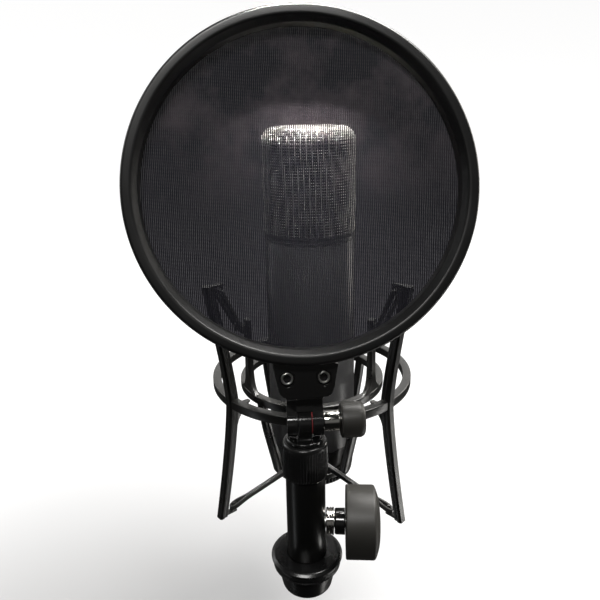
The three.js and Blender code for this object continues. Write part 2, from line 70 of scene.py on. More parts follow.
joints = {j["name"]: j for j in frame["record"]["behaviour"]["joints"]}
CLAMP_Z = joints["mount_tilt"]["pos_m"][2] * 1000 + FOOT
HINGE_Z = joints["filter_tilt"]["pos_m"][2] * 1000 + FOOT
YAW = math.atan2(joints["filter_tilt"]["axis"][1], joints["filter_tilt"]["axis"][0])
LEAN = math.radians(13.7)  # the filter's disc leans back by this
HINGE_DEPTH, HINGE_DROP = 15.0, 103.4  # the filter's hinge, behind and below the disc's middle
RIM_OFF = 2.0  # the rims sit this far right of the disc's middle
PLATE_X, SCREW_X, SCREW_Z = 0.8, (-7.4, 8.6), -81.6  # bracket plate and its bolts, in the disc
BLADES = {"right": -42, "left": 222, "rear": 90}  # angles round the microphone
UPRIGHTS = {"right": -32, "left": 212, "rear": 90}
FLARE, HALF = 10.8, 68.0  # a blade's tips: how far they lean out, how far from its middle
MIC_Y = middle("mic_body")[1]
MIC_R = (mm_box("mic_body")[1][0] - mm_box("mic_body")[0][0]) / 2
STEM = Matrix.Rotation(YAW, 4, "Z")
DISC = STEM @ Matrix.Translation((
    0,
    HINGE_DROP * math.sin(LEAN) - HINGE_DEPTH * math.cos(LEAN),
    HINGE_Z + HINGE_DEPTH * math.sin(LEAN) + HINGE_DROP * math.cos(LEAN),
)) @ Matrix.Rotation(-LEAN, 4, "X")
MIC = Matrix.Translation((0, MIC_Y, 0))
HERE = Matrix.Identity(4)
TO_X = Matrix.Rotation(math.radians(90), 4, "Y")  # lathe axis along X
TO_Y = Matrix.Rotation(math.radians(-90), 4, "X")  # lathe axis along Y

# ---------------------------------------------------------------- camera
cam = bpy.data.objects.new("camera", bpy.data.cameras.new("camera"))
scene.collection.objects.link(cam)
scene.camera = cam
cam.data.sensor_width, cam.data.lens = 36, 36
cam.data.shift_x, cam.data.shift_y = -0.0022, -0.032
yaw, pitch, roll = math.radians(-3.3), math.radians(17.1), math.radians(-1.1)
ahead = Vector((math.sin(yaw) * math.cos(pitch), math.cos(yaw) * math.cos(pitch), -math.sin(pitch)))
right = Vector((math.cos(yaw), -math.sin(yaw), 0))
up = right.cross(ahead)
right, up = (
    math.cos(roll) * right + math.sin(roll) * up,
    -math.sin(roll) * right + math.cos(roll) * up,
)
turn = Matrix((right, up, -ahead)).transposed().to_4x4()
cam.matrix_world = Matrix.Translation((0.0136, -0.2392, 0.2290)) @ turn
cam.data.clip_start, cam.data.clip_end = 0.01, 50


# ---------------------------------------------------------------- mesh tools (millimetres)
def shape(name, verts, faces, at=HERE, sharp=38, smooth=True):
    me = bpy.data.meshes.new(name)
    down = Vector((0, 0, FOOT))
    me.from_pydata([(at @ Vector(v) - down) * MM for v in verts], [], faces)
    me.update()
    bm = bmesh.new()
    bm.from_mesh(me)
    bmesh.ops.remove_doubles(bm, verts=bm.verts, dist=1e-7)
    bmesh.ops.recalc_face_normals(bm, faces=bm.faces)
    bm.to_mesh(me)
    bm.free()
    if smooth:
        me.shade_smooth()
        me.set_sharp_from_angle(angle=math.radians(sharp))
    ob = bpy.data.objects.new(name, me)
    scene.collection.objects.link(ob)
    return ob


def rounded(points, radius, steps=4, closed=True):
    """Corners of an outline eased by radius (a number, or one for each point)."""
    n = len(points)
    radii = radius if isinstance(radius, (list, tuple)) else [radius] * n
    out = []
    for i, p in enumerate(points):
        r = radii[i]
        if r <= 0 or (not closed and i in (0, n - 1)):
            out.append(tuple(p))
            continue
        c, a, b = Vector(p), Vector(points[i - 1]), Vector(points[(i + 1) % n])
        da, db = (a - c), (b - c)
        d = min(r, da.length * 0.48, db.length * 0.48)
        s, e = c + da.normalized() * d, c + db.normalized() * d
        for k in range(steps + 1):
            t = k / steps
            q = s * (1 - t) ** 2 + c * 2 * t * (1 - t) + e * t ** 2
            out.append(tuple(q))
    return out


def arc_of(radius, start, end, steps, centre=(0, 0)):
    """Points round a centre from one angle to another, in degrees."""
    angles = [math.radians(start + (end - start) * k / steps) for k in range(steps + 1)]
    return [(centre[0] + radius * math.cos(a), centre[1] + radius * math.sin(a)) for a in angles]


def lathe(name, profile, n=96, at=HERE, closed=True, sharp=38):
    """profile of (radius, height); closed runs back to its start, else its ends lie on the axis."""
    verts, faces, rows = [], [], []
    for r, h in profile:
        if r < 1e-6:
            rows.append([len(verts)] * n)
            verts.append((0, 0, h))
        else:
            rows.append(list(range(len(verts), len(verts) + n)))
            for i in range(n):
                a = 2 * math.pi * i / n
                verts.append((r * math.cos(a), r * math.sin(a), h))
    pairs = list(zip(rows, rows[1:])) + ([(rows[-1], rows[0])] if closed else [])
    for lo, hi in pairs:
        for i in range(n):
            j = (i + 1) % n
            f = []
            for v in (lo[i], lo[j], hi[j], hi[i]):
                if v not in f:
                    f.append(v)
            if len(f) > 2:
                faces.append(f)
    return shape(name, verts, faces, at, sharp)


def loft(name, rings, at=HERE, loop=False, sharp=38):
    n = len(rings[0])
    verts = [p for ring in rings for p in ring]
    faces = []
    count = len(rings)
    for k in range(count if loop else count - 1):
        a, b = k * n, ((k + 1) % count) * n
        for i in range(n):
            j = (i + 1) % n
            faces.append((a + i, a + j, b + j, b + i))
    if not loop:
        faces.append(tuple(range(n))[::-1])
        faces.append(tuple(range((count - 1) * n, count * n)))
    return shape(name, verts, faces, at, sharp)


def plate(name, outline, y0, y1, at=HERE, bevel=0.35, segments=3):
    """An outline of (across, up) points, from y0 to y1, with eased edges."""
    rings = [[(x, y, z) for x, z in outline] for y in (y0, y1)]
    ob = loft(name, rings, at)
    ease(ob, bevel, segments)
    return ob


def ease(ob, width, segments=3, angle=32):
    m = ob.modifiers.new("ease", "BEVEL")
    m.width, m.segments, m.limit_method = width * MM, segments, "ANGLE"
    m.angle_limit = math.radians(angle)
    m.harden_normals = False
    return ob


def bake(ob):
    dg = bpy.context.evaluated_depsgraph_get()
    me = bpy.data.meshes.new_from_object(ob.evaluated_get(dg))
    ob.modifiers.clear()
    ob.data = me
    return ob


def carve(ob, *cutters, op="DIFFERENCE"):
    for c in cutters:
        m = ob.modifiers.new("cut", "BOOLEAN")
        m.object, m.operation, m.solver = c, op, "EXACT"
        bake(ob)
        bpy.data.objects.remove(c)
    ob.data.shade_smooth()
    ob.data.set_sharp_from_angle(angle=math.radians(38))
    return ob


def box(name, lo, hi, at=HERE, bevel=0.3):
    x0, y0, z0 = lo
    x1, y1, z1 = hi
    ring = lambda z: [(x0, y0, z), (x1, y0, z), (x1, y1, z), (x0, y1, z)]
    ob = loft(name, [ring(z0), ring(z1)], at)
    if bevel:
        ease(ob, bevel)
    return ob


# ---------------------------------------------------------------- materials
def add_node(nt, kind, **values):
    node = nt.nodes.new(kind)
    for key, value in values.items():
        if hasattr(node, key):
            setattr(node, key, value)
        else:
            node.inputs[key.replace("_", " ")].default_value = value
    return node


def new_material(name):
    """A material, its node tree, its shader and the object coordinates to draw it in."""
    m = bpy.data.materials.new(name)
    m.use_nodes = True
    nt = m.node_tree
    return m, nt, nt.nodes["Principled BSDF"], add_node(nt, "ShaderNodeTexCoord").outputs["Object"]


def feed(nt, value, socket):
    """Gives a socket another node's output, a number or a colour."""
    if isinstance(value, bpy.types.NodeSocket):
        nt.links.new(value, socket)
    elif isinstance(value, tuple):
        socket.default_value = value + (1,)
    else:
        socket.default_value = value


def noise_of(nt, place, scale, detail=3.0, roughness=0.5):
    node = add_node(nt, "ShaderNodeTexNoise", Scale=scale, Detail=detail, Roughness=roughness)
    nt.links.new(place, node.inputs["Vector"])
    return node


def math_of(nt, operation, *values):
    node = add_node(nt, "ShaderNodeMath", operation=operation)
    for value, socket in zip(values, node.inputs):
        feed(nt, value, socket)
    return node.outputs[0]


def range_of(nt, value, start, end, low=0.0, high=1.0, **options):
    """The value's run from start to end, stretched to low to high."""
    node = add_node(nt, "ShaderNodeMapRange", **options)
    nt.links.new(value, node.inputs["Value"])
    for key, number in (("From Min", start), ("From Max", end), ("To Min", low), ("To Max", high)):
        node.inputs[key].default_value = number
    return node.outputs[0]


def mix_of(nt, factor, a, b):
    node = add_node(nt, "ShaderNodeMix", data_type="RGBA")
    nt.links.new(factor, node.inputs["Factor"])
    feed(nt, a, node.inputs["A"])
    feed(nt, b, node.inputs["B"])
    return node.outputs["Result"]


def bump_of(nt, sh, height, strength, distance):
    node = add_node(nt, "ShaderNodeBump")
    node.inputs["Strength"].default_value = strength
    node.inputs["Distance"].default_value = distance
    nt.links.new(height, node.inputs["Height"])
    nt.links.new(node.outputs[0], sh.inputs["Normal"])


def finish_of(name, base, rough, metallic=0.0, grain=900, bump=0.06, depth=0.00004, vary=0.25,
              wear=0.35, coat=0.0, patch=60, spec=0.5, rough_vary=0.12):
    """Moulded or metal finish: fine grain in the bump, cloudy colour and roughness, paler edges."""
    m, nt, sh, place = new_material(name)
    sh.inputs["Metallic"].default_value = metallic
    sh.inputs["Specular IOR Level"].default_value = spec
    if coat:
        sh.inputs["Coat Weight"].default_value = coat
        sh.inputs["Coat Roughness"].default_value = 0.08
    cloud = noise_of(nt, place, patch, 4.0, 0.6).outputs["Fac"]
    grains = noise_of(nt, place, grain, 3.0, 0.6).outputs["Fac"]
    dark = tuple(c * (1 - vary) for c in base)
    pale = tuple(min(1, c * (1 + vary)) for c in base)
    rubbed = tuple(min(1, c * 2.4 + 0.05) for c in base)
    pointed = add_node(nt, "ShaderNodeNewGeometry").outputs["Pointiness"]
    edge = range_of(nt, pointed, 0.52, 0.62, 0.0, wear)
    worn = math_of(nt, "MULTIPLY", edge, cloud)
    colour = mix_of(nt, worn, mix_of(nt, cloud, dark, pale), rubbed)
    nt.links.new(colour, sh.inputs["Base Color"])
    rougher = range_of(nt, cloud, 0.0, 1.0, max(0.03, rough - rough_vary), rough + rough_vary)
    nt.links.new(rougher, sh.inputs["Roughness"])
    bump_of(nt, sh, grains, bump, depth)
    return m


SATIN = finish_of("satin_black", (0.004, 0.004, 0.0042), 0.27, wear=0.08, rough_vary=0.04,
                  grain=2600, bump=0.25)
TUBE = finish_of("tube_black", (0.004, 0.004, 0.0039), 0.30, wear=0.08, rough_vary=0.04,
                 grain=2200, bump=0.25, patch=40)
MOULDED = finish_of("moulded_black", (0.006, 0.0058, 0.0053), 0.30, spec=0.7, grain=1500, bump=0.5,
                    depth=0.00005)
GLOSS = finish_of("gloss_black", (0.005, 0.005, 0.005), 0.14, grain=700, bump=0.12, coat=0.5,
                  rough_vary=0.05)
RIM = finish_of("rim_black", (0.0035, 0.0035, 0.0036), 0.36, grain=2400, bump=0.3, patch=30)
COLLAR = finish_of("collar_black", (0.005, 0.005, 0.005), 0.2, grain=1500, bump=0.3)
KNOB = finish_of("knob_grey", (0.027, 0.026, 0.0235), 0.42, spec=0.3, grain=2000, bump=0.5,
                 patch=50, wear=0.2)
BODY = finish_of("mic_body_metal", (0.020, 0.020, 0.0205), 0.32, 0.3, grain=2600, bump=0.3)
CHROME = finish_of("bright_chrome", (0.82, 0.80, 0.76), 0.10, 1.0, grain=500, bump=0.05, vary=0.05,
                   rough_vary=0.04, wear=0)
STEEL = finish_of("steel", (0.50, 0.50, 0.48), 0.30, 1.0, grain=1500, bump=0.2, vary=0.15)
BRASS = finish_of("insert_brass", (0.62, 0.44, 0.17), 0.3, 1.0, grain=1200, bump=0.15)
GOLD = finish_of("gold", (0.85, 0.60, 0.22), 0.22, 1.0, grain=900, bump=0.1, vary=0.1)
RUBBER = finish_of("elastic_rubber", (0.022, 0.022, 0.022), 0.6, grain=2800, bump=0.6, depth=0.00006)
FIBRE = finish_of("red_fibre", (0.22, 0.018, 0.02), 0.6, grain=2400, bump=0.6, depth=0.00006)
WIRE = finish_of("grille_wire", (0.52, 0.505, 0.48), 0.32, 0.5, grain=2600, bump=0.2, wear=0.05,
                 vary=0.1)
BOARD = finish_of("board_green", (0.02, 0.10, 0.05), 0.4, grain=300, bump=0.3, patch=180)


def knit_material():
    """Black knitted mesh: upright wales with loops across them, open enough to see light through."""
    wale_pitch, loop_pitch, drift = 0.00082, 0.00058, 0.0009
    m, nt, sh, place = new_material("mesh_cloth")
    sh.inputs["Sheen Weight"].default_value = 0.05
    sh.inputs["Specular IOR Level"].default_value = 0.12
    sh.inputs["Sheen Roughness"].default_value = 0.4
    flat = add_node(nt, "ShaderNodeUVMap")
    flat.uv_map = "flat"
    push = add_node(nt, "ShaderNodeVectorMath", operation="SCALE")
    push.inputs["Scale"].default_value = drift
    nt.links.new(noise_of(nt, place, 55.0).outputs["Color"], push.inputs[0])
    moved = add_node(nt, "ShaderNodeVectorMath", operation="ADD")
    nt.links.new(flat.outputs["UV"], moved.inputs[0])
    nt.links.new(push.outputs[0], moved.inputs[1])
    parts = add_node(nt, "ShaderNodeSeparateXYZ")
    nt.links.new(moved.outputs[0], parts.inputs[0])

    def wave(across, pitch):
        return math_of(nt, "SINE", math_of(nt, "MULTIPLY", across, 2 * math.pi / pitch))

    squeeze = add_node(nt, "ShaderNodeMapping")
    squeeze.inputs["Scale"].default_value = (900, 900, 45)
    nt.links.new(place, squeeze.inputs["Vector"])
    yarn = noise_of(nt, squeeze.outputs[0], 1.0, 4.0).outputs["Fac"]
    wales = wave(parts.outputs["X"], wale_pitch)
    loops = math_of(nt, "MULTIPLY_ADD", wave(parts.outputs["Y"], loop_pitch), 0.45, wales)
    thread = math_of(nt, "MULTIPLY_ADD", yarn, 0.9, loops)
    nt.links.new(range_of(nt, thread, -0.40, -0.10, 0.12), sh.inputs["Alpha"])
    shade = mix_of(nt, yarn, (0.002, 0.002, 0.004), (0.017, 0.0165, 0.023))
    # painted reflection: paler, pinkish clouds towards the top stand for the room reflected in and seen
    # through the cloth
    high = range_of(nt, parts.outputs["Y"], 0.012, -0.045)
    painted_reflection_clouds = range_of(nt, noise_of(nt, place, 26.0, 4.0, 0.65).outputs["Fac"], 0.42, 0.72)
    colour = mix_of(nt, math_of(nt, "MULTIPLY", high, painted_reflection_clouds), shade, (0.11, 0.088, 0.098))
    nt.links.new(colour, sh.inputs["Base Color"])
    nt.links.new(range_of(nt, yarn, 0.0, 1.0, 0.55, 0.85), sh.inputs["Roughness"])
    bump_of(nt, sh, thread, 0.6, 0.0002)
    return m


def gauze_material():
    """Fine inner gauze of the head: dark, with small openings."""
    m, nt, sh, place = new_material("inner_gauze")
    sh.inputs["Metallic"].default_value = 0.6
    cells = add_node(nt, "ShaderNodeTexVoronoi", Scale=1900.0)
    nt.links.new(place, cells.inputs["Vector"])
    wire = cells.outputs["Distance"]
    nt.links.new(range_of(nt, wire, 0.18, 0.42, 0.55), sh.inputs["Alpha"])
    tone = mix_of(nt, wire, (0.010, 0.010, 0.011), (0.035, 0.035, 0.036))
    nt.links.new(tone, sh.inputs["Base Color"])
    sh.inputs["Roughness"].default_value = 0.5
    return m


KNIT = knit_material()
GAUZE = gauze_material()


def painted(material, *nodes):
    """Gives solids that the frame carries over their finish."""
    for node in nodes:
        frame["nodes"][node].data.materials.clear()
        frame["nodes"][node].data.materials.append(material)


def done(ob, material, body, *stands_for, slot=None):
    ob.data.materials.clear()
    ob.data.materials.append(material)
    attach(ob, body)
    if stands_for:
        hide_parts(*stands_for)
    return ob


# ---------------------------------------------------------------- stand collar
def stand_collar():
    r, _, top = mm_box("stand_collar")[1]
    profile = [
        (8.0, FOOT), (10.2, FOOT), (11.9, 3.3), (14.2, 14.2), (14.5, 14.7), (16.0, 14.8),
        (16.25, 15.3), (15.8, 15.8), (r, 19.2), (r, 19.8), (r - 1.4, top), (r - 2.2, top),
        (r - 2.6, top - 0.12), (9.5, top - 0.12), (9.5, 13.4), (4, 13.4), (4, 12.2), (8, 12.2),
    ]
    radii = [0.3, 0.8, 1.6, 0.4, 0.3, 0.35, 0.4, 0.25, 0.4, 0.4, 0.45, 0.2, 0.2, 0, 0, 0, 0, 0]
    ob = lathe("stand_collar_shell", rounded(profile, radii, 4), 144)
    done(ob, SATIN, "stand", "stand_collar", slot="satin_black")
    # coarse thread inside the brass insert
    z0, z1 = FOOT + 0.4, 11.7
    turns = []
    pitch = 1.0
    z = z1
    while z > z0 + 1.6:
        turns += [(4.8, z), (5.2, z - pitch / 2)]
        z -= pitch
    inner = turns + [(4.8, z0 + 1.2), (5.4, z0)]
    prof = [(7.3, z0), (7.75, z0 + 0.5), (7.75, z1)] + inner
    ins = lathe("stand_insert", prof, 72, sharp=25)
    carve(ins, box("slot", (-8.4, -1.1, 1.5), (8.4, 1.1, 4.0), bevel=0))
    done(ins, BRASS, "stand", "thread_insert", slot="insert_brass")


# ---------------------------------------------------------------- post
def post():
    top = mm_box("lock_collar")[0][2] - 0.1
    outer = [(7.2, 13.8), (9.2, 13.8), (9.2, top), (7.9, top), (7.9, 74), (7.2, 74)]
    tube = lathe("post_tube_shell", rounded(outer, [0.2, 0.4, 0.3, 0, 0.2, 0.2], 3), 120)
    slot = plate("slot", rounded([(-2.9, 21), (2.9, 21), (2.9, 52), (-2.9, 52)], 2.8, 6), 2, 12,
                 bevel=0)
    hole = lathe("hole", [(0, 4), (3.3, 4), (3.3, 12), (0, 12)], 40,
                 Matrix.Translation((0, 0, CLAMP_Z)) @ TO_X, closed=False)
    carve(tube, slot, hole)
    done(tube, TUBE, "post", "post_tube", slot="satin_black")
    painted(MOULDED, "collet", "clamp_spacer")
    painted(STEEL, "clamp_nut")


# ---------------------------------------------------------------- lock collar with ribs
def ribbed_ring(name, profile, ribs, depth, z_on, z_off, at=HERE, per=8, inner=()):
    """A turned ring whose skin is ribbed between z_on and z_off; profile runs up the outside."""
    n = ribs * per
    verts, faces = [], []
    rows = list(profile) + list(inner)
    for k, (r, z) in enumerate(rows):
        on = 0.0
        if k < len(profile):
            lo = min(1, max(0, (z - z_on) / 0.35))
            hi = min(1, max(0, (z_off - z) / 0.35))
            on = lo * hi
        for i in range(n):
            a = 2 * math.pi * i / n
            wave = (0.5 + 0.5 * math.cos(2 * math.pi * (i % per) / per)) ** 0.55
            rr = r - depth * on * (1 - wave)
            verts.append((rr * math.cos(a), rr * math.sin(a), z))
    count = len(rows)
    for k in range(count):
        a, b = k * n, ((k + 1) % count) * n
        for i in range(n):
            j = (i + 1) % n
            faces.append((a + i, a + j, b + j, b + i))
    return shape(name, verts, faces, at, 50)


def lock_collar():
    z0, z1 = mm_box("lock_collar")[0][2], mm_box("lock_collar")[1][2]
    r = 10.5
    outside = [
        (8.3, z0), (9.5, z0), (9.9, z0 + 0.25), (10.2, z0 + 1.0), (r, z0 + 1.5), (r, z0 + 1.9),
        (r, z0 + 5), (r, z0 + 9), (r, z1 - 2.6), (r, z1 - 2.2), (r - 0.1, z1 - 1.9),
        (r - 0.25, z1 - 1.0), (r - 0.6, z1 - 0.35), (r - 1.0, z1 - 0.06), (8.85, z1),
    ]
    inside = [(5.85, z1), (5.85, 76), (8.3, 75)]
    ob = ribbed_ring("lock_collar_shell", outside, 52, 0.55, z0 + 0.9, z1 - 2.1, inner=inside)
    done(ob, COLLAR, "collar", "lock_collar", slot="satin_black")


# ---------------------------------------------------------------- stem, boss and tongue
def stem():
    z0 = mm_box("lock_collar")[1][2] + 0.3
    top = HINGE_Z - 6.8
    rod = [
        (0, 44.8), (4.6, 44.8), (4.6, 52.3), (5.5, 52.3), (5.5, z0), (8.3, z0), (8.6, z0 + 0.4),
        (8.6, top - 0.45), (8.2, top), (7.5, top), (7.2, top - 0.75), (0, top - 0.8),
    ]
    radii = [0, 0, 0, 0, 0.2, 0.2, 0.3, 0.4, 0.3, 0.3, 0.3, 0]
    ob = lathe("stem_boss", rounded(rod, radii, 3, False), 96, STEM, closed=False)
    done(ob, GLOSS, "stem", "pop_stem", slot="gloss_black")
    outline = arc_of(5.9, -25, 205, 24, (0, HINGE_Z))
    outline += [(-3.5, top + 0.9), (-3.3, top - 1.0), (3.3, top - 1.0), (3.5, top + 0.9)]
    tongue = loft("stem_tongue", [[(x, y, z) for y, z in outline] for x in (-2.9, 2.9)], STEM)
    bore = lathe("bore", [(0, -4), (2.2, -4), (2.2, 4), (0, 4)], 40,
                 STEM @ Matrix.Translation((0, 0, HINGE_Z)) @ TO_X, closed=False)
    carve(tongue, bore)
    ease(tongue, 0.25, 2)
    done(tongue, GLOSS, "stem", slot="gloss_black")
    painted(STEEL, "stem_clip")
    painted(MOULDED, "stem_bush")
    for side, x, finish, slot in (("left", -3.4, MOULDED, "moulded_black"),
                                  ("right", 3.05, FIBRE, "red_fibre")):
        ring = rounded([(2.3, x), (5.7, x), (5.7, x + 0.35), (2.3, x + 0.35)], 0.12, 2)
        washer = lathe("fibre_washer_" + side, ring, 64,
                       STEM @ Matrix.Translation((0, 0, HINGE_Z)) @ TO_X)
        done(washer, finish, "stem", "hinge_washer_" + side, slot=slot)


# ---------------------------------------------------------------- hinge screw and small knob
def hinge_knob():
    at = STEM @ Matrix.Translation((0, 0, HINGE_Z)) @ TO_X
    prof = [
        (0, -7.4), (2, -7.4), (2, 8.35), (4.3, 8.35), (4.7, 8.8), (4.75, 12), (4.7, 16.0),
        (2.5, 16.2), (2.5, 23), (0, 23),
    ]
    radii = [0, 0, 0, 0.1, 0.2, 0.5, 0.2, 0, 0, 0]
    screw = lathe("hinge_screw_shell", rounded(prof, radii, 2, False), 96, at, closed=False)
    done(screw, CHROME, "hinge_knob", "hinge_screw", slot="bright_chrome")
    prof = [
        (0, 24), (2.7, 24), (2.7, 16.35), (7.5, 16.35), (7.95, 16.8), (8.05, 18), (8.1, 22),
        (8.05, 25.0), (7.5, 26.3), (6.6, 27.0), (5.4, 27.15), (5.1, 26.9), (0, 26.9),
    ]
    radii = [0, 0, 0, 0.5, 0.5, 0.8, 2, 1.2, 0.8, 0.6, 0.2, 0.2, 0]
    knob = lathe("hinge_knob_cap", rounded(prof, radii, 4, False), 96, at, closed=False)
    done(knob, KNOB, "hinge_knob", "small_knob", slot="knob_grey")


# ---------------------------------------------------------------- clamp knob
def clamp_knob():
    at = Matrix.Translation((0, 0, CLAMP_Z)) @ TO_X
    prof = rounded([(0, -6.4), (2.6, -6.4), (3, -6), (3, 30.6), (0, 30.6)], 0.1, 2, False)
    stud = lathe("clamp_stud", prof, 64, at, closed=False)
    done(stud, STEEL, "clamp_knob", "tilt_stud", slot="steel")
    prof = [
        (3.3, 9.45), (5.8, 9.45), (6.2, 9.8), (6.2, 10.5), (5.7, 10.65), (5.7, 11.0), (6.2, 11.15),
        (6.2, 11.8), (5.85, 11.95), (5.85, 12.2), (6.2, 12.35), (6.2, 13.1), (3.3, 13.2),
    ]
    washer = lathe("clamp_washer", rounded(prof, 0.1, 2), 96, at)
    done(washer, CHROME, "clamp_knob", "stud_washer", slot="bright_chrome")
    prof = [(3.3, 13.4), (5.4, 13.4), (5.9, 14.0), (6.0, 18.3), (3.3, 18.3)]
    hub = lathe("clamp_hub", rounded(prof, [0, 0.5, 0.6, 0.2, 0], 4), 96, at)
    done(hub, GLOSS, "clamp_knob", "tilt_hub", slot="gloss_black")
    prof = [
        (0, 31.2), (3.3, 31.2), (3.3, 19.4), (7.0, 19.4), (7.3, 18.65), (16.2, 18.65), (16.7, 19.1),
        (16.7, 25), (16.7, 31.6), (16.4, 32.2), (15.6, 32.7), (11.5, 34.2), (6, 34.8), (0, 34.9),
    ]
    radii = [0, 0, 0, 0, 0.3, 0.3, 0.3, 0, 0.4, 0.3, 0.8, 3, 3, 0]
    knob = lathe("clamp_knob_cap", rounded(prof, radii, 5, False), 160, at, closed=False)
    done(knob, KNOB, "clamp_knob", "tilt_knob", slot="knob_grey")


# ---------------------------------------------------------------- bracket of the pop filter
def bracket():
    under_rim = arc_of(75.9, -101.5, -101.5 + 13 * 1.65, 13, (RIM_OFF, 0))
    left, right = PLATE_X - 14.2, PLATE_X + 14.2
    outline = rounded([(left, -76.0), (left + 2.0, -86.4), (left + 3.0, -88.9), (left + 5.2, -90.2),
                       (right - 5.2, -90.2), (right - 3.0, -88.9), (right - 2.0, -86.4), (right, -76.0)],
                      [0, 1, 1.6, 1.6, 1.6, 1.6, 1, 0], 4)
    under_rim = [(x, z) for x, z in under_rim if left + 0.1 < x < right - 0.1]
    face = plate("bracket_plate", outline + under_rim[::-1], 5.5, 9.95, DISC, bevel=0)
    at_bolt = [DISC @ Matrix.Translation((x, 0, SCREW_Z)) @ TO_Y for x in SCREW_X]
    seat = [(0, 5), (3.9, 5), (3.6, 7.0), (1.8, 7.0), (1.8, 11), (0, 11)]
    turned = Matrix.Rotation(math.radians(30), 4, "Z")
    carve(face, *[lathe("seat", seat, 6, at @ turned, closed=False) for at in at_bolt])
    ease(face, 0.35, 3)
    done(face, GLOSS, "filter", "pop_bracket", slot="gloss_black")
    shelf = box("bracket_shelf", (-8.15, 5.9, -91.2), (8.15, 18.2, -87.7), DISC, 0.5)
    done(shelf, GLOSS, "filter", slot="gloss_black")
    bracket_fork()
    for side, at in zip(("left", "right"), at_bolt):
        bracket_bolt(side, at)
    painted(STEEL, "hinge_nut")


def bracket_fork():
    """Two ears round the tongue, joined above it; the left one holds the nut, the right one the screw."""
    def across_x(name, outline, x0, x1):
        return loft(name, [[(x, y, z) for y, z in outline] for x in (x0, x1)], DISC)

    hinge = (HINGE_DEPTH, -HINGE_DROP)
    ear = arc_of(6.3, 59, -238, 40, hinge) + [(11.62, -94.6), (18.18, -94.6)]
    floor = arc_of(6.4, 60, 122, 40, hinge) + [(11.61, -94.8), (18.19, -94.8)]
    block = [(11.6, -95.2), (18.2, -95.2), (18.2, -90.5), (11.6, -90.5)]
    neck = across_x("bracket_fork", block, -7.9, 8.3)
    left_ear, right_ear = across_x("ear", ear, -7.88, -3.55), across_x("ear", ear, 3.55, 8.28)
    at = DISC @ Matrix.Translation((0, HINGE_DEPTH, -HINGE_DROP)) @ TO_X
    pocket = [(0, -9), (3.75, -9), (3.75, -5.2), (2.25, -5.2), (2.25, -3), (0, -3)]
    carve(left_ear, lathe("pocket", pocket, 6, at, closed=False))
    carve(right_ear, lathe("pin", [(0, 3), (2.25, 3), (2.25, 9), (0, 9)], 40, at, closed=False))
    carve(neck, left_ear, right_ear, across_x("middle", floor, -3.6, 3.6), op="UNION")
    ease(neck, 0.28, 2, 40)
    done(neck, GLOSS, "filter", slot="gloss_black")


def bracket_bolt(side, at):
    head = [(0, 8.6), (1.75, 8.4), (1.75, 5.75), (2.45, 5.62), (2.75, 5.95), (2.75, 6.9), (1.9, 6.95),
            (1.9, 8.8), (1.4, 9.0), (1.4, 15), (0, 15)]
    bolt = lathe("bracket_bolt_" + side, rounded(head, 0.08, 2, False), 48, at, closed=False)
    done(bolt, STEEL, "filter", "bracket_screw_" + side, slot="steel")
    # painted shade: a gloss-black lining inside the steel head stands for the shade down in the hex socket
    socket = [(1.45, 5.95), (1.73, 5.85), (1.73, 8.2), (0, 8.3), (0, 8.0), (1.4, 7.9)]
    done(lathe("bolt_socket_" + side, socket, 6, at), GLOSS, "filter", slot="gloss_black")
    nut = rounded([(1.6, 13), (2.9, 13), (3.1, 13.2), (3.1, 15), (2.9, 15.2), (1.6, 15.2)], 0.05, 1)
    done(lathe("bracket_hex_" + side, nut, 6, at), STEEL, "filter", "bracket_nut_" + side, slot="steel")


# ---------------------------------------------------------------- rims and mesh
def pop_filter():
    at = DISC @ Matrix.Translation((RIM_OFF, 0, 0)) @ TO_Y
    prof = [
        (68.7, 9.4), (68.7, 4.2), (70.3, 1.0), (70.7, 0.35), (71.5, 0.08), (74.4, 0.0), (75.3, 0.9),
        (75.45, 2.0), (75.3, 9.4), (73.4, 9.4), (73.4, 8.7), (70.6, 8.7), (70.6, 9.4),
    ]
    radii = [0.1, 0.6, 0.4, 0.3, 0.5, 0.6, 0.5, 0.6, 0.25, 0.1, 0.1, 0.1, 0.1]
    rim = lathe("rim_front", rounded(prof, radii, 4), 288, at)
    done(rim, RIM, "filter", "front_rim", slot="rim_black")
    prof = [(69.1, 10.2), (74.5, 10.2), (74.5, 12.2), (69.1, 12.2)]
    ring = lathe("rim_rear", rounded(prof, [0.2, 0.2, 0.8, 0.8], 4), 256, at)
    done(ring, RIM, "filter", "rear_rim", slot="rim_black")
    lug = plate("rim_lug", rounded([(-12.4, -73.6), (-11, -86.4), (11, -86.4), (12.4, -73.6)],
                                   [0, 2, 2, 0], 4), 10.25, 12.55, DISC, 0.3)
    done(lug, RIM, "filter", slot="rim_black")
    pop_mesh(at)


def pop_mesh(at):
    """A stretched disc of cloth, divided finely enough to carry its own slight waves."""
    rows, n = 42, 192
    radius = 71.4
    verts = [(0, 0, 9.8)]
    wave = lambda x, z: 0.10 * math.sin(x * 0.21 + 1.0) * math.sin(z * 0.17)
    for k in range(1, rows + 1):
        r = radius * k / rows
        for i in range(n):
            a = 2 * math.pi * i / n
            x, z = r * math.cos(a), r * math.sin(a)
            verts.append((x, z, 9.8 + wave(x, z) * (1 - (k / rows) ** 6)))
    faces = [(0, 1 + i, 1 + (i + 1) % n) for i in range(n)]
    for k in range(rows - 1):
        a, b = 1 + k * n, 1 + (k + 1) * n
        faces += [(a + i, b + i, b + (i + 1) % n, a + (i + 1) % n) for i in range(n)]
    cloth = shape("pop_filter_mesh", verts, faces, at, 180)
    flat = cloth.data.uv_layers.new(name="flat")
    back = at.inverted()
    for loop in cloth.data.loops:
        p = back @ (cloth.data.vertices[loop.vertex_index].co / MM + Vector((0, 0, FOOT)))
        flat.data[loop.index].uv = (p[0] * MM, p[1] * MM)
    done(cloth, KNIT, "filter", "pop_mesh", slot="mesh_cloth")


